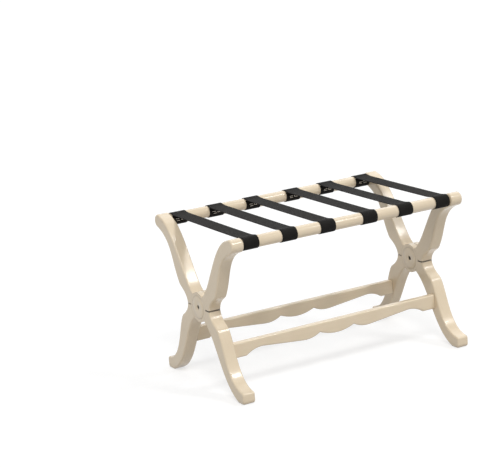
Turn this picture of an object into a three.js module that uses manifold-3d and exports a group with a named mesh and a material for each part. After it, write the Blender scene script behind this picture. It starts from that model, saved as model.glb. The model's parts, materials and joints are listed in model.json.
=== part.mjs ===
// A folding luggage bench, in millimetres with +Z up.
// X runs along the rails, the front is -Y, and the origin is on the floor under the middle.
// Two frames cross at each end. One joins the front feet to the back rail, the other the
// back feet to the front rail, and webbing straps tie the two rails together.

import * as THREE from "three";
import { mergeVertices } from "three/addons/utils/BufferGeometryUtils.js";
import Module from "manifold-3d";

const wasm = await Module();
wasm.setup();

// Main sizes
const LENGTH = 760; // over the outer faces of the legs
const LEG_THICK = 38;
const PIVOT_HEIGHT = 232;
const RAIL_OUT = 208; // from the middle out to a rail's axis
const RAIL_RISE = 212.8; // from the pivot up to a rail's axis
const RAIL_RADIUS = 16.8;
const HEAD_RADIUS = 19.5; // of the round leg heads that take the rails
const HEAD_OUT = 212; // from the middle out to the centre of a head, a little past its rail
const FIT_GAP = 0.3; // between pieces that touch
const EDGE_ROUND = 5; // softened edges of the painted wood

// Half-lap where two legs cross: each keeps a round cheek of half the thickness.
const CHEEK_RADIUS = 43;
const CHEEK_ROOM = 0.6; // radial room that lets a cheek turn inside the other leg
const CHEEK_SPACE = 1.6; // between the two cheeks, where the washer runs
const SHOULDER_GAP = 1.6; // the seam between the shoulders that stop the opening bench
const WAIST_OUT = 64.5; // from the pivot out to the narrowest part of the crossing
const KNEE = [100.4, 41.2]; // where the hollow beside the waist ends
const SHIN = [112.6, 56.4]; // where the knee has turned into the long outer curve
const NOTCH = [26, 34.5]; // where an arm's inner edge meets the cheek
const HIDDEN_END = 12; // how far an arm runs past the shoulder before it is cut there

// Joinery between legs, rails and stretchers
const TENON_RADIUS = 11;
const TENON_LENGTH = 24;
const DOWEL_RADIUS = 4;
const DOWEL_REACH = 19; // into each of the two pieces it joins
const DOWEL_HEIGHTS = [109, 130];

// Stretcher: a board with a scalloped lower edge
const STRETCHER_OUT = 110; // from the middle out to the board's centre
const STRETCHER_THICK = 20;
const STRETCHER_TOP = 143;
const BLOCK_FOOT = 99.5; // underside of the full-depth ends
const NECK_FOOT = 116; // underside of the narrow necks beside them
const LOBE_FOOT = 102; // underside of the three lobes
const CUSP_FOOT = 114.5; // points between the lobes
const CUSP_OUT = 58;
const LOBE_OUT = 112;
const NECK_OUT = 250;
const BLOCK_OUT = 300;

// Pivot: a sleeve nut and a screw, covered by a turned rosette on each side
const ROSETTE_RADIUS = 33;
const ROSETTE_SEAT = 2.6; // depth sunk into the leg
const ROSETTE_PROUD = 0.4;
const ROSETTE_HOLE = 6.5;
const SEAT_ROOM = 0.5; // thin ring seam left round the rosette
const BOLT_HEAD_RADIUS = 11;
const BOLT_HEAD_THICK = 3.4;
const BOLT_SEAT = 3.6; // depth of its counterbore under the rosette
const SLEEVE_RADIUS = 6;
const SLEEVE_END = 11.5; // open end, past the middle plane of the crossing
const THREAD_RADIUS = 3;
const THREAD_DEPTH = 20;
const SOCKET_RADIUS = 3;
const SOCKET_DEPTH = 2.2;
const WASHER_RADIUS = 22;
const WASHER_THICK = 1;

// Webbing straps, nearly but not quite evenly spaced along the rails
const STRAP_WIDTH = 48.5;
const STRAP_THICK = 1.5;
const STRAP_ROOM = 0.3; // between the webbing and the rail
const STRAP_SAG = 4.5;
const STRAP_TAIL = -200 * (Math.PI / 180); // where a tail ends, up the inner side of the rail
const STRAP_PLACES = [-316, -195, -71.5, 67, 187.5, 315];

const RAIL_HEIGHT = PIVOT_HEIGHT + RAIL_RISE;
const HALF = LEG_THICK / 2;
const END_OUT = LENGTH / 2 - HALF; // from the middle out to a crossing's middle plane
const BETWEEN_LEGS = LENGTH / 2 - LEG_THICK;
const FAR = 400; // past everything a cut has to clear

// A closed three.js geometry as a solid that can be joined and cut, and back again.
function solidOf(geometry) {
  const bare = geometry.clone();
  bare.deleteAttribute("normal");
  bare.deleteAttribute("uv");
  const merged = mergeVertices(bare, 1e-3);
  const mesh = new wasm.Mesh({
    numProp: 3,
    vertProperties: merged.attributes.position.array,
    triVerts: new Uint32Array(merged.index.array),
  });
  return new wasm.Manifold(mesh);
}

function geometryOf(solid) {
  const mesh = solid.getMesh();
  const geometry = new THREE.BufferGeometry();
  geometry.setAttribute("position", new THREE.BufferAttribute(mesh.vertProperties, 3));
  geometry.setIndex(new THREE.BufferAttribute(mesh.triVerts, 1));
  geometry.computeVertexNormals();
  return geometry;
}

// A round bar along X, used for cheeks and for drilling.
function bar(radius, from, to, y = 0, z = 0, sides = 20) {
  const geometry = new THREE.CylinderGeometry(radius, radius, Math.abs(to - from), sides);
  geometry.rotateZ(-Math.PI / 2);
  geometry.translate((from + to) / 2, y, z);
  return solidOf(geometry);
}

function block(low, high) {
  const size = high.map((value, axis) => value - low[axis]);
  const geometry = new THREE.BoxGeometry(...size);
  geometry.translate(...high.map((value, axis) => (value + low[axis]) / 2));
  return solidOf(geometry);
}

// An outline drawn in Y and Z, made a board across X with softened edges.
function boardAcrossX(outline, thick, round, steps) {
  const geometry = new THREE.ExtrudeGeometry(outline, {
    depth: thick - 2 * round,
    bevelEnabled: round > 0,
    bevelThickness: round,
    bevelSize: round,
    bevelOffset: -round,
    bevelSegments: 2,
    curveSegments: steps,
  });
  geometry.translate(0, 0, round - thick / 2);
  const toYZX = new THREE.Matrix4().makeBasis(
    new THREE.Vector3(0, 1, 0),
    new THREE.Vector3(0, 0, 1),
    new THREE.Vector3(1, 0, 0),
  );
  return geometry.applyMatrix4(toYZX);
}

// A turned piece: a profile of [radius, along X] points spun round the X axis.
function turned(profile, sides) {
  const points = profile.map(([radius, along]) => new THREE.Vector2(radius, along));
  const geometry = new THREE.LatheGeometry(points, sides);
  return geometry.rotateZ(-Math.PI / 2);
}

// The hollow from the waist to the knee, shared by the arm above and the leg below.
function startAtWaist(outline) {
  outline.moveTo(WAIST_OUT, -HIDDEN_END);
  outline.lineTo(WAIST_OUT, 0);
  outline.quadraticCurveTo(66.5, 22, ...KNEE);
  outline.quadraticCurveTo(107.7, 45.8, ...SHIN);
}

function closeInsideCheek(outline) {
  outline.lineTo(0, 8);
  outline.lineTo(0, -HIDDEN_END);
  outline.closePath();
}

// Upper arm, drawn out from the pivot and up: it sweeps out into a round head for the rail.
function armOutline() {
  const under = -62 * (Math.PI / 180);
  const inside = 125 * (Math.PI / 180);
  const outline = new THREE.Shape();
  startAtWaist(outline);
  outline.bezierCurveTo(
    145.5, 109.8, 138, 169,
    HEAD_OUT + HEAD_RADIUS * Math.cos(under), RAIL_RISE + HEAD_RADIUS * Math.sin(under),
  );
  outline.absarc(HEAD_OUT, RAIL_RISE, HEAD_RADIUS, under, inside, false);
  outline.bezierCurveTo(121, 215.5, 80, 69, ...NOTCH);
  closeInsideCheek(outline);
  return outline;
}

// Lower leg, drawn out from the pivot and down: a sabre curve with a blunt toe on a flat sole.
function footOutline() {
  const toe = 226;
  const outline = new THREE.Shape();
  startAtWaist(outline);
  outline.bezierCurveTo(136.8, 97.2, 145, 187.4, 218.5, 198.6);
  outline.quadraticCurveTo(toe, 199.5, toe, 206);
  outline.lineTo(toe, PIVOT_HEIGHT - 11);
  outline.quadraticCurveTo(toe, PIVOT_HEIGHT, toe - 11, PIVOT_HEIGHT);
  outline.lineTo(194.5, PIVOT_HEIGHT);
  outline.bezierCurveTo(105, 196.8, 92.2, 79.2, ...NOTCH);
  closeInsideCheek(outline);
  return outline;
}

// One leg about its pivot, with its arm towards +Y, its foot towards -Y and its cheek towards
// -X. The side that faces the middle of the bench takes the rail's tenon and the dowels.
function legGeometry(inner) {
  const cheekFace = -CHEEK_SPACE / 2;
  const seam = SHOULDER_GAP / 2;
  const arm = boardAcrossX(armOutline(), LEG_THICK, EDGE_ROUND, 7);
  const foot = boardAcrossX(footOutline(), LEG_THICK, EDGE_ROUND, 7);
  foot.rotateX(Math.PI);
  const upper = solidOf(arm).subtract(block([-FAR, -FAR, -FAR], [FAR, FAR, seam]));
  const lower = solidOf(foot).subtract(block([-FAR, -FAR, -seam], [FAR, FAR, FAR]));
  const otherCheek = bar(CHEEK_RADIUS + CHEEK_ROOM, cheekFace, FAR, 0, 0, 40);
  const cheek = bar(CHEEK_RADIUS, -HALF, cheekFace, 0, 0, 40);
  let leg = upper.add(lower).subtract(otherCheek).add(cheek);

  const boltFloor = -HALF + ROSETTE_SEAT + BOLT_SEAT;
  leg = leg.subtract(bar(ROSETTE_RADIUS + SEAT_ROOM, -FAR, -HALF + ROSETTE_SEAT, 0, 0, 28));
  leg = leg.subtract(bar(BOLT_HEAD_RADIUS + FIT_GAP, -FAR, boltFloor));
  leg = leg.subtract(bar(SLEEVE_RADIUS + FIT_GAP, -FAR, FAR));

  const tenonFloor = inner * (HALF - TENON_LENGTH - FIT_GAP);
  leg = leg.subtract(bar(TENON_RADIUS + FIT_GAP, tenonFloor, inner * FAR, RAIL_OUT, RAIL_RISE));
  const dowelFloor = inner * (HALF - DOWEL_REACH - FIT_GAP);
  for (const height of DOWEL_HEIGHTS) {
    const drop = height - PIVOT_HEIGHT;
    leg = leg.subtract(bar(DOWEL_RADIUS + FIT_GAP, dowelFloor, inner * FAR, -STRETCHER_OUT, drop, 12));
  }
  return geometryOf(leg);
}

// A round rail, turned down to a tenon at each end.
function railGeometry() {
  const shoulder = BETWEEN_LEGS - FIT_GAP;
  const end = BETWEEN_LEGS + TENON_LENGTH;
  const chamfer = 1.5;
  const half = [
    [RAIL_RADIUS, shoulder],
    [TENON_RADIUS, shoulder],
    [TENON_RADIUS, end - chamfer],
    [TENON_RADIUS - chamfer, end],
    [0, end],
  ];
  const mirrored = half.map(([radius, along]) => [radius, -along]).reverse();
  return turned([...mirrored, ...half], 24);
}

// The scalloped board, drawn in X and Z and drilled for the dowels at both ends.
function stretcherGeometry() {
  const over = 20; // cut off again, so that the ends stay square
  const outline = new THREE.Shape();
  outline.moveTo(-CUSP_OUT, CUSP_FOOT);
  outline.quadraticCurveTo(0, 2 * LOBE_FOOT - CUSP_FOOT, CUSP_OUT, CUSP_FOOT);
  outline.quadraticCurveTo(80, LOBE_FOOT - 2, LOBE_OUT, LOBE_FOOT);
  outline.lineTo(NECK_OUT - 12, NECK_FOOT - 1);
  outline.quadraticCurveTo(NECK_OUT - 5, NECK_FOOT, NECK_OUT, NECK_FOOT);
  outline.quadraticCurveTo(276, NECK_FOOT, BLOCK_OUT, BLOCK_FOOT);
  outline.lineTo(BETWEEN_LEGS + over, BLOCK_FOOT);
  outline.lineTo(BETWEEN_LEGS + over, STRETCHER_TOP);
  outline.lineTo(-BETWEEN_LEGS - over, STRETCHER_TOP);
  outline.lineTo(-BETWEEN_LEGS - over, BLOCK_FOOT);
  outline.lineTo(-BLOCK_OUT, BLOCK_FOOT);
  outline.quadraticCurveTo(-276, NECK_FOOT, -NECK_OUT, NECK_FOOT);
  outline.quadraticCurveTo(-NECK_OUT + 5, NECK_FOOT, -NECK_OUT + 12, NECK_FOOT - 1);
  outline.lineTo(-LOBE_OUT, LOBE_FOOT);
  outline.quadraticCurveTo(-80, LOBE_FOOT - 2, -CUSP_OUT, CUSP_FOOT);
  outline.closePath();

  const board = new THREE.ExtrudeGeometry(outline, {
    depth: STRETCHER_THICK - 2 * EDGE_ROUND,
    bevelThickness: EDGE_ROUND,
    bevelSize: EDGE_ROUND,
    bevelOffset: -EDGE_ROUND,
    bevelSegments: 2,
    curveSegments: 6,
  });
  board.translate(0, 0, EDGE_ROUND - STRETCHER_THICK / 2);
  board.rotateX(Math.PI / 2);

  const end = BETWEEN_LEGS - FIT_GAP;
  let made = solidOf(board).intersect(block([-end, -FAR, 0], [end, FAR, FAR]));
  const floor = BETWEEN_LEGS - DOWEL_REACH - FIT_GAP;
  for (const side of [-1, 1]) {
    for (const height of DOWEL_HEIGHTS) {
      made = made.subtract(bar(DOWEL_RADIUS + FIT_GAP, side * floor, side * FAR, 0, height, 12));
    }
  }
  return geometryOf(made);
}

function dowelGeometry() {
  const chamfer = 1;
  return turned(
    [
      [0, -DOWEL_REACH],
      [DOWEL_RADIUS - chamfer, -DOWEL_REACH],
      [DOWEL_RADIUS, chamfer - DOWEL_REACH],
      [DOWEL_RADIUS, DOWEL_REACH - chamfer],
      [DOWEL_RADIUS - chamfer, DOWEL_REACH],
      [0, DOWEL_REACH],
    ],
    12,
  );
}

// A band of webbing: round the back rail, across with a slight sag and round the front rail.
function strapGeometry() {
  const lean = Math.atan((2 * STRAP_SAG) / RAIL_OUT);
  const inside = RAIL_RADIUS + STRAP_ROOM;
  const outside = inside + STRAP_THICK;
  const leaveBack = Math.PI / 2 + lean;
  const meetFront = Math.PI / 2 - lean;
  const frontTail = Math.PI - STRAP_TAIL;
  // Where the span leaves a rail at this radius, and the point that both end tangents aim at.
  const leave = (radius) => [RAIL_OUT - radius * Math.sin(lean), RAIL_HEIGHT + radius * Math.cos(lean)];
  const aim = (radius) => leave(radius)[1] - Math.tan(lean) * leave(radius)[0];

  const outline = new THREE.Shape();
  outline.absarc(RAIL_OUT, RAIL_HEIGHT, outside, STRAP_TAIL, leaveBack, false);
  outline.quadraticCurveTo(0, aim(outside), -leave(outside)[0], leave(outside)[1]);
  outline.absarc(-RAIL_OUT, RAIL_HEIGHT, outside, meetFront, frontTail, false);
  outline.absarc(-RAIL_OUT, RAIL_HEIGHT, inside, frontTail, meetFront, true);
  outline.quadraticCurveTo(0, aim(inside), ...leave(inside));
  outline.absarc(RAIL_OUT, RAIL_HEIGHT, inside, leaveBack, STRAP_TAIL, true);
  outline.closePath();
  return boardAcrossX(outline, STRAP_WIDTH, 0, 8);
}

// Rosette with its back at zero and its face towards +X: a plain disc with eased edges and a hole.
function rosetteGeometry() {
  const face = ROSETTE_SEAT - FIT_GAP + ROSETTE_PROUD;
  return turned(
    [
      [ROSETTE_HOLE, 0],
      [ROSETTE_RADIUS, 0],
      [ROSETTE_RADIUS, face - 0.8],
      [ROSETTE_RADIUS - 0.8, face],
      [ROSETTE_HOLE + 1, face],
      [ROSETTE_HOLE, face - 1],
      [ROSETTE_HOLE, 0],
    ],
    28,
  );
}

// Head of the sleeve nut and of the screw, with a hex socket, facing -X at the crossing.
const HEAD_FLOOR = -HALF + ROSETTE_SEAT + BOLT_SEAT - FIT_GAP;
const HEAD_FACE = HEAD_FLOOR - BOLT_HEAD_THICK;

function withSocket(geometry) {
  const socket = bar(SOCKET_RADIUS, HEAD_FACE - 1, HEAD_FACE + SOCKET_DEPTH, 0, 0, 6);
  return geometryOf(solidOf(geometry).subtract(socket));
}

function sleeveNutGeometry() {
  const bore = THREAD_RADIUS + FIT_GAP;
  return withSocket(
    turned(
      [
        [0, HEAD_FACE],
        [BOLT_HEAD_RADIUS - 1, HEAD_FACE],
        [BOLT_HEAD_RADIUS, HEAD_FACE + 1],
        [BOLT_HEAD_RADIUS, HEAD_FLOOR],
        [SLEEVE_RADIUS, HEAD_FLOOR],
        [SLEEVE_RADIUS, SLEEVE_END],
        [bore, SLEEVE_END],
        [bore, SLEEVE_END - THREAD_DEPTH],
        [0, SLEEVE_END - THREAD_DEPTH],
      ],
      20,
    ),
  );
}

function screwGeometry() {
  const tip = THREAD_DEPTH - SLEEVE_END - 1;
  return withSocket(
    turned(
      [
        [0, HEAD_FACE],
        [BOLT_HEAD_RADIUS - 1, HEAD_FACE],
        [BOLT_HEAD_RADIUS, HEAD_FACE + 1],
        [BOLT_HEAD_RADIUS, HEAD_FLOOR],
        [THREAD_RADIUS, HEAD_FLOOR],
        [THREAD_RADIUS, tip - 1],
        [THREAD_RADIUS - 1, tip],
        [0, tip],
      ],
      20,
    ),
  );
}

function washerGeometry() {
  const bore = SLEEVE_RADIUS + 1;
  return turned(
    [
      [bore, -WASHER_THICK / 2],
      [WASHER_RADIUS, -WASHER_THICK / 2],
      [WASHER_RADIUS, WASHER_THICK / 2],
      [bore, WASHER_THICK / 2],
      [bore, -WASHER_THICK / 2],
    ],
    20,
  );
}

// Finishes
const paint = () => new THREE.MeshStandardMaterial({ color: 0xe6d9bf, roughness: 0.42, metalness: 0 });
const webbing = () => new THREE.MeshStandardMaterial({ color: 0x262523, roughness: 0.9, metalness: 0 });
const bareWood = () => new THREE.MeshStandardMaterial({ color: 0xc9a574, roughness: 0.8, metalness: 0 });
const steel = () => new THREE.MeshStandardMaterial({ color: 0x35332f, roughness: 0.45, metalness: 1 });
const nylon = () => new THREE.MeshStandardMaterial({ color: 0xe8e6df, roughness: 0.5, metalness: 0 });

function place(group, name, geometry, material, position = [0, 0, 0], turn = 0) {
  const mesh = new THREE.Mesh(geometry, material);
  mesh.name = name;
  mesh.position.set(...position);
  mesh.rotation.z = turn;
  group.add(mesh);
}

const bench = new THREE.Group();
const backRailFrame = new THREE.Group();
const frontRailFrame = new THREE.Group();
const straps = new THREE.Group();
bench.add(backRailFrame, frontRailFrame, straps);

// A leg turned half round about Z keeps its shape, so front and back legs share two patterns.
const ENDS = [
  { name: "left", side: -1 },
  { name: "right", side: 1 },
];
const legs = new Map([-1, 1].map((inner) => [inner, legGeometry(inner)]));
const rosette = rosetteGeometry();
const rosetteBack = HALF - ROSETTE_SEAT + FIT_GAP;
for (const { name, side } of ENDS) {
  const x = side * END_OUT;
  const pivot = [x, 0, PIVOT_HEIGHT];
  place(backRailFrame, `${name}_front_leg`, legs.get(-side), paint(), pivot);
  place(frontRailFrame, `${name}_back_leg`, legs.get(side), paint(), pivot, Math.PI);

  place(backRailFrame, `${name}_pivot_sleeve_nut`, sleeveNutGeometry(), steel(), pivot);
  place(backRailFrame, `${name}_pivot_screw`, screwGeometry(), steel(), pivot, Math.PI);
  place(backRailFrame, `${name}_lap_washer`, washerGeometry(), nylon(), pivot);
  const sleeveSide = [x - rosetteBack, 0, PIVOT_HEIGHT];
  const screwSide = [x + rosetteBack, 0, PIVOT_HEIGHT];
  place(backRailFrame, `${name}_rosette_sleeve_side`, rosette, paint(), sleeveSide, Math.PI);
  place(frontRailFrame, `${name}_rosette_screw_side`, rosette, paint(), screwSide);
}

// Rails and stretchers, with the dowels that tie each stretcher to its legs
const rail = railGeometry();
const stretcher = stretcherGeometry();
const dowel = dowelGeometry();
const FRAMES = [
  { group: backRailFrame, railSide: 1, railName: "back_rail", boardName: "front" },
  { group: frontRailFrame, railSide: -1, railName: "front_rail", boardName: "back" },
];
for (const { group, railSide, railName, boardName } of FRAMES) {
  const boardY = -railSide * STRETCHER_OUT;
  place(group, railName, rail, paint(), [0, railSide * RAIL_OUT, RAIL_HEIGHT]);
  place(group, `${boardName}_stretcher`, stretcher, paint(), [0, boardY, 0]);
  for (const { name, side } of ENDS) {
    DOWEL_HEIGHTS.forEach((height, index) => {
      const level = ["lower", "upper"][index];
      const seat = [side * BETWEEN_LEGS, boardY, height];
      place(group, `${boardName}_${name}_${level}_dowel`, dowel, bareWood(), seat);
    });
  }
}

const strap = strapGeometry();
STRAP_PLACES.forEach((x, index) => {
  place(straps, `strap_${index + 1}`, strap, webbing(), [x, 0, 0]);
});

export default bench;
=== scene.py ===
# %% [markdown]
# # A folding luggage bench
# A low bench that holds a suitcase: two frames of painted wood cross like scissors at each end,
# and six webbing straps join their top rails.
# The packed model fixes every size, place and moving body. It is loaded first, and each piece
# of wood and each set of staples that is made here rides on one of its bodies.

# %% Load the packed model
import json
import math

import bmesh
import bpy
from mathutils import Matrix, Quaternion, Vector
from mathutils.geometry import interpolate_bezier


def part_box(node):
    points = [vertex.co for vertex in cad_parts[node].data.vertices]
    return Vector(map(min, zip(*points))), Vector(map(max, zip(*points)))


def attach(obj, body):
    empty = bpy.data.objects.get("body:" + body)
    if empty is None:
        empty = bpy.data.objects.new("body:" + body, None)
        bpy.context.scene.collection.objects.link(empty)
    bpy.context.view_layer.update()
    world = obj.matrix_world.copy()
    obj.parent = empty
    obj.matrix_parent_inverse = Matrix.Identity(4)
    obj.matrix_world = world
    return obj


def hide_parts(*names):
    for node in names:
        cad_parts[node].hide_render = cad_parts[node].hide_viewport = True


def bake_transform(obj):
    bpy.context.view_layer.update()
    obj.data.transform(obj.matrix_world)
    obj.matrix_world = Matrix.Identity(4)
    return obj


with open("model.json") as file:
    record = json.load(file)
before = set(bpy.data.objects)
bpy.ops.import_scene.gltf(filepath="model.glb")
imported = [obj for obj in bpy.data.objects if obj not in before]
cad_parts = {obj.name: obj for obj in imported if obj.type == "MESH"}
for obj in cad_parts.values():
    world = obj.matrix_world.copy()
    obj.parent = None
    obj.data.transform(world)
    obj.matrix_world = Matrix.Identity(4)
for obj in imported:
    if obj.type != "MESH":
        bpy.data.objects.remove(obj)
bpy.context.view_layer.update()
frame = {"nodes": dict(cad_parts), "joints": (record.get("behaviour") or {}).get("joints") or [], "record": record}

# %% [markdown]
# ## The camera
# The bench is seen from its front left corner, a little from above. A camera could be set by eye.
# Here its place, aim, tilt and focal length were solved from points that show both in the
# photograph and on the model, so that the two pictures can be laid over each other.

# %% Camera
EYE = Vector((-2.4118, -4.0667, 1.5497))
AIM = Vector((-0.1908, 0.0, 0.4085))
TILT = math.radians(-4.583)
SENSOR_WIDTH, FOCAL_LENGTH = 36, 120.5
FAR_LIMIT = 200

lens = bpy.data.cameras.new("photo_camera")
lens.sensor_width = SENSOR_WIDTH
lens.lens = FOCAL_LENGTH
lens.clip_end = FAR_LIMIT
camera = bpy.data.objects.new("photo_camera", lens)
camera.location = EYE
camera.rotation_mode = "QUATERNION"
camera.rotation_quaternion = (AIM - EYE).to_track_quat("-Z", "Y") @ Quaternion((0, 0, 1), TILT)
bpy.context.collection.objects.link(camera)
bpy.context.scene.camera = camera
print("camera is", round((AIM - EYE).length, 2), "m from what it looks at")

# %% [markdown]
# ## Writing shaders as sums
# A finish is a small tree of nodes. Adding each node and link by hand hides the idea, so one
# class wraps a socket: adding or multiplying two wrapped sockets adds the Math node for it, and
# one method makes any other node from its type, its settings and its inputs.

# %% A socket that works in sums
class Wire:
    """An output socket of a shader tree that works in sums like a number."""

    def __init__(self, tree, socket=None):
        self.tree = tree
        self.socket = socket

    def node(self, kind, settings=None, inputs=None, out=0):
        """Add a node, set it up, join its inputs and give back one of its outputs."""
        made = self.tree.nodes.new(kind)
        for name, value in (settings or {}).items():
            setattr(made, name, value)
        for name, value in (inputs or {}).items():
            if isinstance(value, Wire):
                self.tree.links.new(value.socket, made.inputs[name])
            else:
                made.inputs[name].default_value = value
        return Wire(self.tree, made.outputs[out])

    def math(self, operation, *values, clamp=False):
        """The result of a Math node."""
        settings = {"operation": operation, "use_clamp": clamp}
        return self.node("ShaderNodeMath", settings, dict(enumerate(values)))

    def __add__(self, other):
        return self.math("ADD", self, other)

    def __radd__(self, other):
        return self.math("ADD", other, self)

    def __sub__(self, other):
        return self.math("SUBTRACT", self, other)

    def __rsub__(self, other):
        return self.math("SUBTRACT", other, self)

    def __mul__(self, other):
        return self.math("MULTIPLY", self, other)

    def __rmul__(self, other):
        return self.math("MULTIPLY", other, self)

    def __abs__(self):
        return self.math("ABSOLUTE", self)

    def mix(self, first, second):
        """A colour from first to second as this value goes from 0 to 1."""
        return self.node("ShaderNodeMix", {"data_type": "RGBA"}, {0: self, 6: first, 7: second}, out=2)

    def between(self, low, high):
        """0 below low, 1 above high, and smooth from one to the other."""
        settings = {"interpolation_type": "SMOOTHSTEP"}
        return self.node("ShaderNodeMapRange", settings, {0: self, 1: low, 2: high})

    def noise(self, scale, detail):
        """Cloudy noise at this place; a larger scale makes it finer."""
        inputs = {"Vector": self, "Scale": scale, "Detail": detail}
        return self.node("ShaderNodeTexNoise", None, inputs)

    def bump(self, strength, distance):
        """A normal that rises and falls with this value."""
        inputs = {"Strength": strength, "Distance": distance, "Height": self}
        return self.node("ShaderNodeBump", None, inputs)


print("besides sums, a wrapped socket has:", [name for name in vars(Wire) if not name.startswith("_")])

# %% [markdown]
# ## Starting a finish
# Every finish is a material with one shader. What is the same all over the surface is set on the
# shader's own sockets, and what varies is joined to them as a pattern. The Shader Editor does the
# same by hand. Three small functions do it here, because seven finishes need it.

# %% New materials
def new_finish(name, **sockets):
    """A material with constant sockets set; gives it back with the start of its tree and its shader."""
    finish = bpy.data.materials.new(name)
    finish.use_nodes = True
    shader = finish.node_tree.nodes["Principled BSDF"]
    for socket, value in sockets.items():
        shader.inputs[socket.replace("_", " ")].default_value = value
    return finish, Wire(finish.node_tree), shader


def piece_place(start):
    """Where a point lies, in metres, in the object's own coordinates."""
    return start.node("ShaderNodeTexCoord", out="Object")


def feed(shader, **wires):
    """Join patterns to the shader's sockets."""
    for socket, wire in wires.items():
        wire.tree.links.new(wire.socket, shader.inputs[socket.replace("_", " ")])


print("finish helpers:", new_finish.__name__, piece_place.__name__, feed.__name__)

# %% [markdown]
# ## Marks of use and painted shade
# On the real bench dirt stays round the rosettes and laps, on the shoulders of the seams and by
# the floor. The shoulders also get painted shade from the seam gap, and the lips of the seams on
# the front get painted shade, so that the seams look dark. Such marks could be painted by hand on
# each piece. Here they follow from where a point lies, measured in metres from the pivot, so that
# they sit right on every leg.

# %% Where dirt and painted shade stay
PIVOT_HEIGHT = frame["joints"][0]["pos_m"][2]
ROSETTE_EDGE, LAP_EDGE = 0.0333, 0.0433


def marks_of_use_and_shade(place, end_line):
    """How dirty a place is, with painted shade mixed in on the seam shoulders, and how much painted shade falls on
    the front lips of a seam.

    end_line is how dark the joint is where a piece butts against a leg."""
    x, y, z = (place.node("ShaderNodeSeparateXYZ", None, {0: place}, out=axis) for axis in range(3))
    up = z - PIVOT_HEIGHT
    radius = place.math("SQRT", y * y + up * up)
    off_seam = abs(up)
    ring = 1 - abs(radius - ROSETTE_EDGE).between(0.0003, 0.0022)
    lap = 1 - abs(radius - LAP_EDGE).between(0.0004, 0.0026)
    # the shoulders of the seams darken partly with dirt and partly with painted shade from the gap
    shoulder = (1 - off_seam.between(0.0010, 0.0034)) * radius.between(0.040, 0.044)
    scuff = 1 - z.between(0.001, 0.014)
    butt = abs(x).between(0.3392, 0.3412) * radius.between(0.050, 0.060)
    dirt_and_shade = ring * 0.30 + lap * 0.10 + shoulder * 0.80 + scuff * 0.28 + butt * end_line
    # painted shade: the lips of the seams get a near-black colour, and only on the front side of each leg
    painted_lip_shade = off_seam.between(0.00080, 0.00095) * (1 - off_seam.between(0.0014, 0.0023))
    return dirt_and_shade, painted_lip_shade * (0 - y).between(0.0425, 0.0440)


print("marks are measured from a pivot", round(PIVOT_HEIGHT, 3), "m above the floor")

# %% [markdown]
# ## Ivory paint
# The wood carries a satin antique-white paint under a thin clear coat. A flat colour would look
# like plastic. The real film is brushed along the grain, so faint streaks follow each piece, its
# gloss varies a little, and it yellows in broad patches. One function makes the paint, because
# the pieces differ only in the direction of their grain and in the dark joint where rails and
# stretchers butt against the legs.

# %% Paint
IVORY = (0.804, 0.677, 0.497, 1)
IVORY_AGED = (0.744, 0.607, 0.429, 1)
IVORY_BRIGHT = (0.844, 0.733, 0.567, 1)
SEAM_DIRT_AND_SHADE = (0.330, 0.270, 0.200, 1)
LIP_PAINTED_SHADE = (0.035, 0.028, 0.021, 1)
STREAK_LONG, STREAK_FINE = 0.12, 0.004
JOINT_LINE, NO_LINE = 0.55, 0.0


def ivory_paint(name, grain_turn, end_line):
    """Brushed paint with streaks along X or, if a turn in degrees about X is given, along Y so turned."""
    finish, start, shader = new_finish(name, IOR=1.48, Coat_Weight=0.18, Coat_Roughness=0.08)
    place = piece_place(start)
    streak = (STREAK_LONG, STREAK_FINE, STREAK_FINE)
    if grain_turn:
        streak = (STREAK_FINE, STREAK_LONG, STREAK_FINE)
    lay = {"Vector": place, "Rotation": (math.radians(grain_turn), 0, 0), "Scale": streak}
    grain = start.node("ShaderNodeMapping", {"vector_type": "TEXTURE"}, lay)
    streaks = grain.noise(1.0, 3.0)
    hairs = grain.noise(3.2, 2.0)
    patches = place.noise(7.0, 2.0)
    specks = place.noise(420.0, 1.0)

    dirt_and_shade, painted_lip_shade = marks_of_use_and_shade(place, end_line)
    dirt_and_shade = start.math("MULTIPLY", dirt_and_shade, 0.55 + 0.75 * patches, clamp=True)
    aged = patches.between(0.42, 0.72) * 0.45 + streaks.between(0.35, 0.75) * 0.30
    colour = aged.mix(IVORY, IVORY_AGED)
    colour = (hairs.between(0.52, 0.80) * 0.35).mix(colour, IVORY_BRIGHT)
    # dirt, with painted shade mixed in on the seam shoulders
    colour = dirt_and_shade.mix(colour, SEAM_DIRT_AND_SHADE)
    # painted shade on the front lips of the seams
    colour = (painted_lip_shade * 0.92).mix(colour, LIP_PAINTED_SHADE)
    rough = 0.17 + 0.08 * streaks + 0.04 * specks + 0.30 * dirt_and_shade
    height = 0.55 * streaks + 0.30 * hairs + 0.15 * specks
    feed(shader, Base_Color=colour, Roughness=rough, Normal=height.bump(0.10, 0.0006))
    return finish


paint_along = ivory_paint("paint_along_the_bench", 0, JOINT_LINE)
paint_rising_back = ivory_paint("paint_rising_to_the_back", 45, NO_LINE)
paint_rising_front = ivory_paint("paint_rising_to_the_front", -45, NO_LINE)
print("paints:", paint_along.name, paint_rising_back.name, paint_rising_front.name)

# %% [markdown]
# ## Drawing an outline
# Legs and stretchers are boards sawn to a curve. Their edges are drawn, as on a template, from a
# few curves and arcs in millimetres. A Blender curve object could hold them, but points sampled
# here become one flat bmesh face, which the extrude operator turns into a board with clean sides.

# %% Curves and arcs
MM = 0.001
SAME_SPOT = 0.01


def arc(centre, radius, from_turn, to_turn, steps):
    """Points along an arc, with its angles in degrees."""
    turns = [math.radians(from_turn + (to_turn - from_turn) * i / steps) for i in range(steps + 1)]
    return [(centre[0] + radius * math.cos(t), centre[1] + radius * math.sin(t)) for t in turns]


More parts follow.
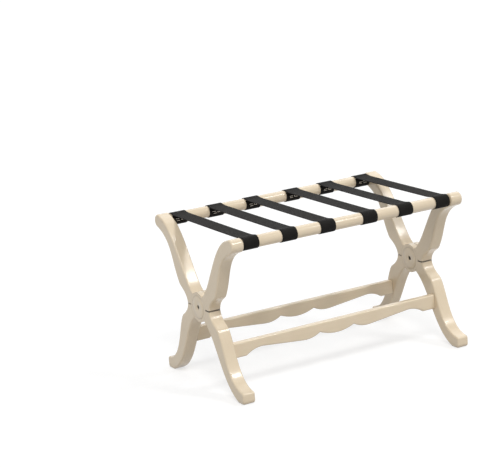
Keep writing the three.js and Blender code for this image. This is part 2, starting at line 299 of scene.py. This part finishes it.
def bend(*ends, steps):
    """Points along a curve with one or two handles between its ends."""
    knots = [Vector(point) for point in ends]
    if len(knots) == 3:
        first, handle, last = knots
        knots = [first, first.lerp(handle, 2 / 3), last.lerp(handle, 2 / 3), last]
    return [tuple(point) for point in interpolate_bezier(*knots, steps + 1)]


def chain(*runs):
    """One line from several runs of points, without the points that repeat."""
    line = []
    for point in (p for run in runs for p in run):
        if not line or math.dist(point, line[-1]) > SAME_SPOT:
            line.append(point)
    return line


print("an arc of three steps:", [(round(u), round(v)) for u, v in arc((0, 0), 10, 0, 90, 3)])

# %% [markdown]
# ## From outline to board
# A board is its outline pushed out to its thickness. It could be cut from a block with a Boolean,
# but extruding one face is exact and gives clean sides. Each edge of the outline also carries a
# bevel weight that says how round it will be, and the extrude takes the weight to the far side.

# %% Boards
def board(runs, thick):
    """A board in its own plane from runs of outline points, each run with its edges' softness."""
    bm = bmesh.new()
    outline = [point for points, _ in runs for point in points]
    softness = [soft for points, soft in runs for _ in points]
    corners = [bm.verts.new((u * MM, v * MM, -thick * MM / 2)) for u, v in outline]
    face = bm.faces.new(corners)
    weight = bm.edges.layers.float.new("bevel_weight_edge")
    for corner, following, soft in zip(corners, corners[1:] + corners[:1], softness):
        bm.edges.get((corner, following))[weight] = soft
    pushed = bmesh.ops.extrude_face_region(bm, geom=[face])["geom"]
    far_side = [part for part in pushed if isinstance(part, bmesh.types.BMVert)]
    bmesh.ops.translate(bm, verts=far_side, vec=(0, 0, thick * MM))
    bmesh.ops.recalc_face_normals(bm, faces=bm.faces)
    return bm


def object_from(name, bm):
    """A smooth-shaded object from a bmesh, in the scene."""
    mesh = bpy.data.meshes.new(name)
    bm.to_mesh(mesh)
    bm.free()
    mesh.shade_smooth()
    made = bpy.data.objects.new(name, mesh)
    bpy.context.collection.objects.link(made)
    return made


print("board helpers:", board.__name__, object_from.__name__)

# %% [markdown]
# ## Eased edges and cuts
# A sharp sawn edge catches no light, so the shaped edges are eased, those round a lap only a little,
# and the ends of the stretchers stay square. Bevelling edge by edge would work, but one Bevel modifier
# reads the weights and rounds all of them at once. Bores and laps are cut after it with a Boolean,
# because those edges stay crisp, and the result is applied so that no cutter is left behind.
# Weighted normals then keep the flat faces flat beside the round edges.

# %% Easing and cutting
EASE, EASE_STEPS = 5.0, 5
SHARP = math.radians(40)


def finished_mesh(piece):
    """Apply a piece's modifiers to its mesh."""
    graph = bpy.context.evaluated_depsgraph_get()
    rough_mesh = piece.data
    piece.data = bpy.data.meshes.new_from_object(piece.evaluated_get(graph))
    piece.data.name = piece.name
    piece.modifiers.clear()
    bpy.data.meshes.remove(rough_mesh)


def ease_and_cut(name, bm, cutter_bm):
    """Round a board's weighted edges, then cut it."""
    piece = object_from(name, bm)
    rounding = piece.modifiers.new("eased edges", "BEVEL")
    rounding.limit_method = "WEIGHT"
    rounding.width = EASE * MM
    rounding.segments = EASE_STEPS
    rounding.use_clamp_overlap = False
    cutter = object_from(name + "_cutter", cutter_bm)
    cut = piece.modifiers.new("cut", "BOOLEAN")
    cut.operation = "DIFFERENCE"
    cut.solver = "EXACT"
    cut.object = cutter
    finished_mesh(piece)
    bpy.data.meshes.remove(cutter.data)
    piece.data.set_sharp_from_angle(angle=SHARP)
    shading = piece.modifiers.new("flat faces stay flat", "WEIGHTED_NORMAL")
    shading.keep_sharp = True
    return piece


print("edges are eased by", EASE, "mm")

# %% [markdown]
# ## Turnings and drills
# Rails and rosettes are turned on a lathe, and laps and holes are bored. A turned shape could be
# built up from cylinders, but spinning its outline once about X gives the whole of it without a
# seam, and the same function makes the cutter for a lap. A rod is a plain cylinder that drills.

# %% Turning and drilling
ROD_SIDES = 32
DOUBLES = 1e-6


def turning(profile, steps):
    """A turned solid about X from the (along, radius) points of its outline, in millimetres."""
    bm = bmesh.new()
    spots = [bm.verts.new((along * MM, 0, radius * MM)) for along, radius in profile]
    edges = [bm.edges.new(pair) for pair in zip(spots, spots[1:])]
    bmesh.ops.spin(
        bm, geom=spots + edges, cent=(0, 0, 0), axis=(1, 0, 0),
        angle=math.tau, steps=steps, use_merge=True,
    )
    bmesh.ops.remove_doubles(bm, verts=bm.verts, dist=DOUBLES)
    bmesh.ops.recalc_face_normals(bm, faces=bm.faces)
    return bm


def rod(bm, radius, low, high, y, z):
    """Add a round rod along X, for drilling."""
    made = bmesh.ops.create_cone(
        bm, cap_ends=True, segments=ROD_SIDES,
        radius1=radius * MM, radius2=radius * MM, depth=(high - low) * MM,
    )["verts"]
    spot = Matrix.Translation(Vector(((low + high) / 2, y, z)) * MM)
    bmesh.ops.transform(bm, verts=made, matrix=spot @ Matrix.Rotation(math.pi / 2, 4, "Y"))


print("turning helpers:", turning.__name__, rod.__name__)

# %% [markdown]
# ## The line of a leg
# Each leg is one sabre-curved board. Seen from its end it starts at the waist beside the pivot,
# hollows out to a knee, sweeps up to a round head for the rail, and comes back down its inner
# edge to the round cheek of the half-lap. Below the pivot it sweeps the other way to a blunt toe.
# Its points could be traced one by one, but a few curves with handles stay smooth and are easy to
# correct. All of it is measured out from the pivot, and the lower half is drawn upwards like the
# upper one, then turned half round.

# %% Leg outline
LEG_THICK = 38
RAIL_OUT, RAIL_RISE = 208, 212.8
HEAD_OUT, HEAD_RADIUS = 212, 19.5
HEAD_FROM, HEAD_TO = -62, 125
CHEEK_RADIUS, CHEEK_FROM = 43, 55
SEAM = 0.8
WAIST_OUT = 64.5
KNEE = (100.4, 41.2)
SHIN = (112.6, 56.4)
NOTCH = (26, 34.5)
DROP = PIVOT_HEIGHT / MM
INSTEP = (218.5, 198.6)
TOE, TOE_ROUND = 226, 11
SOLE = 194.5

waist_to_knee = chain(
    bend((WAIST_OUT, SEAM), (66.5, 22), KNEE, steps=12),
    bend(KNEE, (107.7, 45.8), SHIN, steps=6),
)
head = arc((HEAD_OUT, RAIL_RISE), HEAD_RADIUS, HEAD_FROM, HEAD_TO, 28)
arm_line = chain(
    waist_to_knee,
    bend(SHIN, (145.5, 109.8), (138, 169), head[0], steps=24),
    head,
    bend(head[-1], (121, 215.5), (80, 69), NOTCH, steps=26),
)
foot_line = chain(
    waist_to_knee,
    bend(SHIN, (136.8, 97.2), (145, 187.4), INSTEP, steps=28),
    bend(INSTEP, (TOE, 199.5), (TOE, 206), steps=6),
    bend((TOE, DROP - TOE_ROUND), (TOE, DROP), (TOE - TOE_ROUND, DROP), steps=7),
    bend((SOLE, DROP), (105, 196.8), (92.2, 79.2), NOTCH, steps=30),
)

SHAPED, SQUARE, CHEEK_EASE, SHOULDER_EASE = 1.0, 0.0, 0.06, 0.20
seam_angle = math.degrees(math.asin(SEAM / CHEEK_RADIUS))
cheek_line = [NOTCH, *arc((0, 0), CHEEK_RADIUS, CHEEK_FROM, 180 + seam_angle, 42)]
leg_runs = []
for line, side in ((arm_line, 1), (foot_line, -1)):
    for points, soft in (
        (line[:-1], SHAPED),
        (cheek_line[:-1], CHEEK_EASE),
        (cheek_line[-1:], SHOULDER_EASE),
    ):
        leg_runs.append(([(side * u, side * v) for u, v in points], soft))
print("a leg outline has", sum(len(points) for points, _ in leg_runs), "points")

# %% [markdown]
# ## What is cut from a leg
# The lap, the pivot and the joinery take wood away: a shallow seat for the rosette, a counterbore
# for the bolt head, the bore, the wide pocket for the other leg's cheek, and holes for the rail's
# tenon and the dowels. Each could be a cut of its own. One turned cutter and three rods do it in
# one Boolean.

# %% Cuts in a leg
HALF = LEG_THICK / 2
PAST_FACE = 5
ROSETTE_SEAT, SEAT_RADIUS = 2.6, 33.5
BOLT_FLOOR, BOLT_RADIUS, BORE_RADIUS = 6.2, 11.3, 6.3
CHEEK_FACE, POCKET_RADIUS = -0.8, 43.3
TENON_HOLE_RADIUS, TENON_HOLE_DEPTH = 11.3, 24.3
DOWEL_HOLE_RADIUS, DOWEL_HOLE_DEPTH = 4.3, 19.3
STRETCHER_OUT, DOWEL_HEIGHTS = 110, (109, 130)
LAP_STEPS = 128

lap_profile = [
    (-HALF - PAST_FACE, 0), (-HALF - PAST_FACE, SEAT_RADIUS), (-HALF + ROSETTE_SEAT, SEAT_RADIUS),
    (-HALF + ROSETTE_SEAT, BOLT_RADIUS), (-HALF + BOLT_FLOOR, BOLT_RADIUS),
    (-HALF + BOLT_FLOOR, BORE_RADIUS), (CHEEK_FACE, BORE_RADIUS),
    (CHEEK_FACE, POCKET_RADIUS), (HALF + PAST_FACE, POCKET_RADIUS), (HALF + PAST_FACE, 0),
]
leg_holes = [(TENON_HOLE_RADIUS, TENON_HOLE_DEPTH, RAIL_OUT, RAIL_RISE)]
for height in DOWEL_HEIGHTS:
    leg_holes.append((DOWEL_HOLE_RADIUS, DOWEL_HOLE_DEPTH, -STRETCHER_OUT, height - DROP))
print("a leg has a lap of", len(lap_profile), "corners and", len(leg_holes), "holes")

# %% [markdown]
# ## Four legs
# All four legs are the same board. Each could be modelled where it stands, but it is easier to make
# it about its pivot and then place it. The two that reach the back rail stand as drawn, and the two
# that reach the front rail are turned half round, so that their cheeks lap. Only the side with the
# holes changes, because it faces the middle of the bench.

# %% Legs
UPRIGHT = Matrix(((0, 0, 1, 0), (1, 0, 0, 0), (0, 1, 0, 0), (0, 0, 0, 1)))


def settle(piece, finish, body, node):
    """Give a painted piece its finish and its body, and hide the CAD node that it stands for."""
    piece.data.materials.clear()
    piece.data.materials.append(finish)
    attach(piece, body)
    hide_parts(node)
    print(piece.name, "-", len(piece.data.polygons), "faces on", body)


def leg(name, inner, turned, finish, body):
    """One leg; inner is the side, +1 or -1 along its own X, that faces the middle of the bench."""
    bm = board(leg_runs, LEG_THICK)
    bmesh.ops.transform(bm, verts=bm.verts, matrix=UPRIGHT)
    cutter = turning(lap_profile, LAP_STEPS)
    for radius, depth, y, z in leg_holes:
        low, high = sorted((inner * (HALF - depth), inner * (HALF + PAST_FACE)))
        rod(cutter, radius, low, high, y, z)
    piece = ease_and_cut("painted_" + name, bm, cutter)

    low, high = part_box(name)
    spot = Matrix.Translation(((low.x + high.x) / 2, 0, PIVOT_HEIGHT))
    piece.data.transform(spot @ Matrix.Rotation(math.pi if turned else 0, 4, "Z"))
    settle(piece, finish, body, name)


for side, inward in (("left", 1), ("right", -1)):
    leg(side + "_front_leg", inward, False, paint_rising_back, "back_rail_frame")
    leg(side + "_back_leg", -inward, True, paint_rising_front, "front_rail_frame")

# %% [markdown]
# ## Two rails
# A rail is a round bar turned down to a tenon at both ends, which goes into the leg heads. A plain
# cylinder would have neither tenons nor eased shoulders, so half of the outline is written down,
# mirrored and spun. The shoulder is eased so that a fine line shows at each head.

# %% Rails
RAIL_RADIUS, TENON_RADIUS = 16.8, 11
BETWEEN_LEGS, JOINT_GAP = 342, 0.3
TENON_LONG, TENON_CHAMFER = 24, 1.5
SHOULDER_OUT, TENON_END = BETWEEN_LEGS - JOINT_GAP, BETWEEN_LEGS + TENON_LONG
RAIL_STEPS = 96

half_rail = [
    (SHOULDER_OUT - 0.8, RAIL_RADIUS), (SHOULDER_OUT - 0.2, RAIL_RADIUS - 0.25),
    (SHOULDER_OUT, RAIL_RADIUS - 0.8), (SHOULDER_OUT, TENON_RADIUS),
    (TENON_END - TENON_CHAMFER, TENON_RADIUS), (TENON_END, TENON_RADIUS - TENON_CHAMFER), (TENON_END, 0),
]
rail_profile = [(-along, radius) for along, radius in reversed(half_rail)] + half_rail


def turned_piece(name, profile, steps):
    """A turned object about X with its crisp edges kept."""
    piece = object_from("painted_" + name, turning(profile, steps))
    piece.data.set_sharp_from_angle(angle=SHARP)
    return piece


def rail(name, body):
    """A turned rail with a tenon at each end, at its CAD place."""
    piece = turned_piece(name, rail_profile, RAIL_STEPS)
    low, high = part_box(name)
    piece.data.transform(Matrix.Translation((low + high) / 2))
    settle(piece, paint_along, body, name)


rail("back_rail", "back_rail_frame")
rail("front_rail", "front_rail_frame")

# %% [markdown]
# ## Two scalloped stretchers
# A thin board ties each pair of legs. Its lower edge has three lobes with cusps between them, a
# straight rise to a neck, and full-depth ends that take the dowels. The whole edge could be drawn
# in one go. Half of it is drawn and mirrored, because the two halves are the same.

# %% Stretchers
STRETCHER_THICK, STRETCHER_TOP = 20, 143
CUSP, LOBE, NECK, BLOCK = (58, 114.5), (112, 102), (250, 116), (300, 99.5)

half_edge = chain(
    bend(CUSP, (80, LOBE[1] - 2), LOBE, steps=14),
    bend((238, NECK[1] - 1), (245, NECK[1]), NECK, steps=4),
    bend(NECK, (276, NECK[1]), BLOCK, steps=12),
)
middle_lobe = bend((-CUSP[0], CUSP[1]), (0, 2 * LOBE[1] - CUSP[1]), CUSP, steps=22)[:-1]
scallop = chain(middle_lobe, half_edge)
returning = [(-x, z) for x, z in reversed(half_edge)][:-1]
stretcher_runs = [
    (scallop, SHAPED),
    ([(SHOULDER_OUT, BLOCK[1])], SQUARE), ([(SHOULDER_OUT, STRETCHER_TOP)], SHAPED),
    ([(-SHOULDER_OUT, STRETCHER_TOP)], SQUARE), ([(-SHOULDER_OUT, BLOCK[1])], SHAPED),
    (returning, SHAPED),
]


def stretcher(name, body):
    """A scalloped board, drilled for the dowels at both ends."""
    bm = board(stretcher_runs, STRETCHER_THICK)
    bmesh.ops.transform(bm, verts=bm.verts, matrix=Matrix.Rotation(math.pi / 2, 4, "X"))
    drills = bmesh.new()
    near, far = BETWEEN_LEGS - DOWEL_HOLE_DEPTH, BETWEEN_LEGS + PAST_FACE
    for height in DOWEL_HEIGHTS:
        rod(drills, DOWEL_HOLE_RADIUS, near, far, 0, height)
        rod(drills, DOWEL_HOLE_RADIUS, -far, -near, 0, height)
    piece = ease_and_cut("painted_" + name, bm, drills)
    low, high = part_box(name)
    piece.data.transform(Matrix.Translation((0, (low.y + high.y) / 2, 0)))
    settle(piece, paint_along, body, name)


stretcher("front_stretcher", "back_rail_frame")
stretcher("back_stretcher", "front_rail_frame")

# %% [markdown]
# ## Rosettes over the pivots
# A thin turned disc covers each end of a pivot bolt and leaves a dark hole in its middle. It lies
# almost flush in its seat, so that only a fine ring shows. A flattened cylinder would have sharp
# rims and no hole, so it is spun from its cross-section, with both rims eased.

# %% Rosettes
ROSETTE_RADIUS, HOLE_RADIUS = 33, 6.5
ROSETTE_STEPS = 128


def rosette(name, body):
    """A turned disc with eased rims, its face outwards, in its seat."""
    low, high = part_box(name)
    thick = (high.x - low.x) / MM
    piece = turned_piece(name, [
        (0, HOLE_RADIUS), (0, ROSETTE_RADIUS), (thick - 0.8, ROSETTE_RADIUS),
        (thick - 0.25, ROSETTE_RADIUS - 0.25), (thick, ROSETTE_RADIUS - 0.8), (thick, HOLE_RADIUS + 0.9),
        (thick - 0.3, HOLE_RADIUS + 0.25), (thick - 0.9, HOLE_RADIUS), (0, HOLE_RADIUS),
    ], ROSETTE_STEPS)
    facing_left = name.endswith("sleeve_side")
    back = high.x if facing_left else low.x
    turn = Matrix.Rotation(math.pi if facing_left else 0, 4, "Z")
    piece.data.transform(Matrix.Translation((back, 0, PIVOT_HEIGHT)) @ turn)
    settle(piece, paint_along, body, name)


for side in ("left", "right"):
    rosette(side + "_rosette_sleeve_side", "back_rail_frame")
    rosette(side + "_rosette_screw_side", "front_rail_frame")

# %% [markdown]
# ## Webbing
# The straps are black nylon webbing. Its fine ribs cross in a herringbone. Modelling every yarn
# would take millions of faces, so the weave is a pattern: its ribs are a bump, and painted shade
# darkens the valleys between them.
# It has to follow each strap round its rails, so it reads a UV map in metres along the band.

# %% Webbing finish
WEB_BLACK = (0.0034, 0.0031, 0.0028, 1)
WEB_GREY = (0.0285, 0.0261, 0.0238, 1)
COLUMN_WIDTH, RIB_PITCH, CHEVRON_SLOPE = 0.0029, 0.0022, 0.9

webbing, start, shader = new_finish(
    "black_webbing", Sheen_Weight=0.02, Sheen_Roughness=0.5, Specular_IOR_Level=0.08,
)
cloth = start.node("ShaderNodeUVMap", {"uv_map": "band"})
across, along = (start.node("ShaderNodeSeparateXYZ", None, {0: cloth}, out=axis) for axis in range(2))
chevron = start.math("PINGPONG", across, COLUMN_WIDTH)
ribs = start.math("SINE", (along + chevron * CHEVRON_SLOPE) * (math.tau / RIB_PITCH)) * 0.5 + 0.5
columns = abs(start.math("SINE", across * (math.pi / COLUMN_WIDTH)))
fuzz = cloth.noise(900.0, 2.0)
wear = cloth.noise(38.0, 2.0)
yarn = ribs * (0.35 + 0.65 * columns)
# painted shade: the weave is darkest in the valleys between its ribs and columns
shade = start.math("MULTIPLY", yarn * 0.7 + fuzz * 0.3, 0.55 + 0.8 * wear, clamp=True)
feed(
    shader,
    Base_Color=shade.mix(WEB_BLACK, WEB_GREY),
    Roughness=0.62 + 0.25 * fuzz,
    Normal=(yarn + 0.3 * fuzz).bump(0.7, 0.0004),
)
print(webbing.name, "has columns", COLUMN_WIDTH / MM, "mm wide and ribs every", RIB_PITCH / MM, "mm")

# %% [markdown]
# ## The line of a strap
# Each strap goes round the back rail, dips a little, lies flat across and goes round the front rail,
# and its two tails lie up the inner sides of the rails. Such webbing needs no cloth simulation: its
# side view is drawn once, as arcs and curves, and all six straps share it.

# %% Strap line
STRAP_WIDTH, STRAP_THICK, STRAP_DIP = 48.5, 1.5, 3.4
MIDDLE_SAG = 0.3
RAIL_GAP = 0.3
LEAVE_TURN = math.radians(12)
TAIL_TURN = -222
BAND_RADIUS = RAIL_RADIUS + RAIL_GAP + STRAP_THICK / 2
RAIL_HEIGHT = DROP + RAIL_RISE

round_back = arc((RAIL_OUT, RAIL_HEIGHT), BAND_RADIUS, TAIL_TURN, 90 + math.degrees(LEAVE_TURN), 44)
leave_out, leave_height = round_back[-1]
flat_height = RAIL_HEIGHT + BAND_RADIUS - STRAP_DIP
settle_run = (leave_height - flat_height) / math.tan(LEAVE_TURN)
settled = (leave_out - 2 * settle_run, flat_height)
middle = (0, flat_height - MIDDLE_SAG)
back_half = chain(
    round_back,
    bend(round_back[-1], (leave_out - settle_run, flat_height), settled, steps=10),
    bend(settled, (settled[0] / 2, middle[1]), middle, steps=16),
)
band_line = chain(back_half, [(-y, z) for y, z in reversed(back_half)])

# %% [markdown]
# ## From line to band
# The line is extruded across the width in strips. A plane could be bent along a curve instead, but
# here each point knows how far along the strap it lies, which gives the UV map that the weave
# follows.

# %% Band
STRIPS = 8


def strap_band(name):
    """The band of a strap at its CAD place, with a UV map laid along it in metres."""
    low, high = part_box(name)
    bm = bmesh.new()
    run = bm.verts.layers.float.new("run")
    spots = [bm.verts.new((low.x, y * MM, z * MM)) for y, z in band_line]
    reach = 0
    for spot, before in zip(spots, [spots[0]] + spots):
        reach += (spot.co - before.co).length
        spot[run] = reach
    edges = [bm.edges.new(pair) for pair in zip(spots, spots[1:])]
    for _ in range(STRIPS):
        grown = bmesh.ops.extrude_edge_only(bm, edges=edges)["geom"]
        moved = [part for part in grown if isinstance(part, bmesh.types.BMVert)]
        edges = [part for part in grown if isinstance(part, bmesh.types.BMEdge)]
        bmesh.ops.translate(bm, verts=moved, vec=((high.x - low.x) / STRIPS, 0, 0))
    bmesh.ops.recalc_face_normals(bm, faces=bm.faces)
    uv_map = bm.loops.layers.uv.new("band")
    for face in bm.faces:
        for loop in face.loops:
            loop[uv_map].uv = (loop.vert.co.x - low.x, loop.vert[run])
    return object_from("webbing_" + name, bm)


print("a band has", STRIPS, "strips of", len(band_line) - 1, "faces")

# %% [markdown]
# ## Six straps
# The band gets its thickness from Solidify, and a bevel rounds its woven edge. A strap is held by
# both rails and goes slack when the bench folds. A cloth simulation could show that, but it would
# fit one pose only. Here the strap keeps the shape that it has on the open bench.

# %% Straps
EDGE_ROUND, EDGE_TURN = 0.5, math.radians(60)


def strap(name):
    """A strap of webbing over both rails."""
    piece = strap_band(name)
    piece.data.materials.append(webbing)
    wall = piece.modifiers.new("webbing thickness", "SOLIDIFY")
    wall.thickness = STRAP_THICK * MM
    wall.offset = 0
    edge = piece.modifiers.new("woven edge", "BEVEL")
    edge.limit_method = "ANGLE"
    edge.angle_limit = EDGE_TURN
    edge.width = EDGE_ROUND * MM
    edge.segments = 2
    RAIL_HEIGHT * MM
    RAIL_HEIGHT * MM
    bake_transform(piece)
    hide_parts(name)
    return piece


strap_names = [f"strap_{number}" for number in range(1, 7)]
straps = [strap(name) for name in strap_names]
print(len(straps), "straps of", len(straps[0].data.polygons), "faces each")

# %% [markdown]
# ## Staple wire
# The staples are plated steel wire that has dulled. One grey metal would look new. Fine noise
# mixes bright and tarnished spots, and the tarnished ones are rougher.

# %% Staple finish
WIRE_BRIGHT = (0.80, 0.75, 0.68, 1)
WIRE_TARNISHED = (0.58, 0.52, 0.45, 1)

staple_wire, start, shader = new_finish("staple_wire", Metallic=1.0)
tarnish = piece_place(start).noise(700.0, 2.0)
feed(
    shader,
    Base_Color=tarnish.between(0.3, 0.7).mix(WIRE_BRIGHT, WIRE_TARNISHED),
    Roughness=0.42 + 0.25 * tarnish,
)
print("staple finish:", staple_wire.name)

# %% [markdown]
# ## Staples on the tails
# Wire staples hold each tail to its rail, up under the strap. Each could be an object of its own.
# One staple is a short bar with its edges bevelled round, pressed a little into the webbing, and
# its copies are turned about the rail and joined into one piece for each rail, because they never
# move against it. Each is shifted and skewed a little, as a staple gun leaves them.

# %% Staples
STAPLE_LONG, STAPLE_WIRE, STAPLE_ROUND = 11, 1.3, 0.3
STAPLE_FLAT, STAPLE_PROUD = 0.7 * STAPLE_WIRE, 0.2 * STAPLE_WIRE
STAPLE_SPOTS = ((-9, 87), (-8, 102), (5, 85), (7, 99))
SKEW_SWAY, TURN_SWAY, SHIFT_SWAY = 0.10, 2, 1.2


def staples(name, rail_side, body):
    """Four staples in each tail of one rail; rail_side is +1 at the back and -1 at the front."""
    bm = bmesh.new()
    size = Matrix.Diagonal((STAPLE_LONG * MM, STAPLE_WIRE * MM, STAPLE_FLAT * MM, 1))
    lift = Matrix.Translation((0, 0, (BAND_RADIUS + STRAP_THICK / 2 + STAPLE_PROUD) * MM))
    for number, node in enumerate(strap_names):
        low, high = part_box(node)
        for off_middle, round_rail in STAPLE_SPOTS:
            # a fixed number between -1 and 1 that differs from staple to staple
            sway = math.sin(7.1 * number + 2.3 * off_middle)
            skew = Matrix.Rotation(SKEW_SWAY * sway, 4, "Z")
            turn = Matrix.Rotation(rail_side * math.radians(round_rail + TURN_SWAY * sway), 4, "X")
            across_spot = (low.x + high.x) / 2 + (off_middle + SHIFT_SWAY * sway) * MM
            spot = Matrix.Translation((across_spot, rail_side * RAIL_OUT * MM, RAIL_HEIGHT * MM))
            bar = bmesh.ops.create_cube(bm, size=1)["verts"]
            bmesh.ops.transform(bm, verts=bar, matrix=spot @ turn @ lift @ skew @ size)
    bmesh.ops.bevel(
        bm, geom=bm.edges[:], offset=STAPLE_ROUND * MM, segments=2,
        profile=0.5, affect="EDGES", material=-1,
    )
    piece = object_from(name, bm)
    piece.data.materials.append(staple_wire)
    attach(piece, body)
    print(name, "-", len(piece.data.polygons), "faces on", body)


staples("back_tail_staples", 1, "back_rail_frame")
staples("front_tail_staples", -1, "front_rail_frame")

# %% [markdown]
# ## Pivot hardware and dowels
# Sleeve nuts, screws, washers and dowels sit inside the wood. They could be modelled again, but
# they are the right shape already, so the CAD pieces stay and only get a finish: dark plated steel
# with stains and fine marks, plain nylon, and bare beech whose fibres run along the dowels.

# %% Hardware finishes
STEEL, STEEL_STAINED = (0.105, 0.098, 0.088, 1), (0.055, 0.048, 0.042, 1)
NYLON, NYLON_YELLOWED = (0.76, 0.75, 0.70, 1), (0.66, 0.64, 0.58, 1)
BEECH, BEECH_FIBRE = (0.58, 0.40, 0.22, 1), (0.42, 0.26, 0.13, 1)

steel, start, shader = new_finish("dark_plated_steel", Metallic=1.0)
place = piece_place(start)
marks = place.noise(900.0, 3.0)
stain = place.noise(160.0, 2.0).between(0.35, 0.70)
feed(shader, Base_Color=stain.mix(STEEL, STEEL_STAINED), Roughness=0.34 + 0.22 * marks)

nylon, start, shader = new_finish("plain_nylon")
cloud = piece_place(start).noise(240.0, 2.0)
feed(shader, Base_Color=cloud.mix(NYLON, NYLON_YELLOWED), Roughness=0.42 + 0.15 * cloud)

beech, start, shader = new_finish("bare_beech")
lay = {"Vector": piece_place(start), "Scale": (25.0, 600.0, 600.0)}
rays = start.node("ShaderNodeMapping", None, lay).noise(1.0, 3.0)
feed(shader, Base_Color=rays.between(0.3, 0.7).mix(BEECH, BEECH_FIBRE), Roughness=0.62 + 0.2 * rays)

FINISH_OF = {"pivot_steel": steel, "washer_nylon": nylon, "dowel_wood": beech}
for part in frame["record"]["subparts"]:
    finish = FINISH_OF.get(part["material_slot"])
    if finish:
        node = frame["nodes"][part["node"]]
        node.data.materials.clear()
        node.data.materials.append(finish)
print("hardware finishes:", [finish.name for finish in FINISH_OF.values()])

# %% [markdown]
# ## The floor
# The bench stands on white, and a large pale floor takes its soft shadow. More light would make
# the floor white too, but it would bleach the paint. So what is seen of the floor glows a little,
# while light on its way to the wood meets a floor that is only pale.

# %% Floor
FLOOR_SIZE, FLOOR_DROP = 30, 0.0004
FLOOR_PALE, FLOOR_SEEN = (0.57, 0.56, 0.55, 1), (0.40, 0.40, 0.40, 1)
NO_GLOW, FLOOR_GLOW = (0, 0, 0, 1), (0.66, 0.66, 0.66, 1)


def seen_directly(start):
    """1 for what the camera, a mirror or glass shows, and 0 for light on its way to a surface."""
    kinds = ("Is Camera Ray", "Is Glossy Ray", "Is Transmission Ray")
    camera_ray, glossy_ray, glass_ray = (start.node("ShaderNodeLightPath", out=kind) for kind in kinds)
    return start.math("MINIMUM", camera_ray + glossy_ray + glass_ray, 1.0)


bm = bmesh.new()
bmesh.ops.create_grid(bm, x_segments=1, y_segments=1, size=FLOOR_SIZE)
floor = object_from("floor", bm)
floor.data.transform(Matrix.Translation((0, 0, -FLOOR_DROP)))
pale, start, shader = new_finish(
    "pale_floor", Roughness=0.9, Specular_IOR_Level=0.0, Emission_Strength=1.0,
)
seen = seen_directly(start)
feed(shader, Base_Color=seen.mix(FLOOR_PALE, FLOOR_SEEN), Emission_Color=seen.mix(NO_GLOW, FLOOR_GLOW))
floor.data.materials.append(pale)
print("the floor is", 2 * FLOOR_SIZE, "m wide")

# %% [markdown]
# ## The light
# Two soft suns from the front, one on each side, light the tops and the front faces and put the
# small highlights on the curves. Two wide fills, from the left and from behind, and a low even sky
# open the shadows. Area lamps could do this too, but a sun lights every part of the bench alike, so
# few numbers had to be solved for the faces to get the tones of the photograph.

# %% Suns and sky
BENCH_MIDDLE = Vector((0, 0, 0.25))
SKY_LEVEL, SKY_SEEN = (0.28, 0.28, 0.28, 1), (1, 1, 1, 1)


def add_sun(name, towards, strength, spread):
    """A soft sun; towards points from the bench to it, and spread is its width in degrees."""
    lamp = bpy.data.lights.new(name, "SUN")
    lamp.energy = strength
    lamp.angle = math.radians(spread)
    made = bpy.data.objects.new(name, lamp)
    made.location = BENCH_MIDDLE + Vector(towards)
    made.rotation_mode = "QUATERNION"
    made.rotation_quaternion = Vector(towards).to_track_quat("Z", "Y")
    bpy.context.collection.objects.link(made)


add_sun("left_key", (-0.28, -0.54, 0.79), 1.40, 24)
add_sun("right_key", (0.465, -0.516, 0.719), 0.72, 11)
add_sun("left_fill", (-0.97, 0.0, 0.26), 0.22, 60)
add_sun("back_fill", (0.50, 0.50, 0.71), 0.78, 60)

world = bpy.data.worlds.new("studio")
world.use_nodes = True
bpy.context.scene.world = world
sky = world.node_tree.nodes["Background"]
feed(sky, Color=seen_directly(Wire(world.node_tree)).mix(SKY_LEVEL, SKY_SEEN))

bpy.context.scene.view_settings.view_transform = "Standard"
print("lights:", [light.name for light in bpy.data.lights])

# %% [markdown]
# ## The size
# The looks may not change the size of the bench.
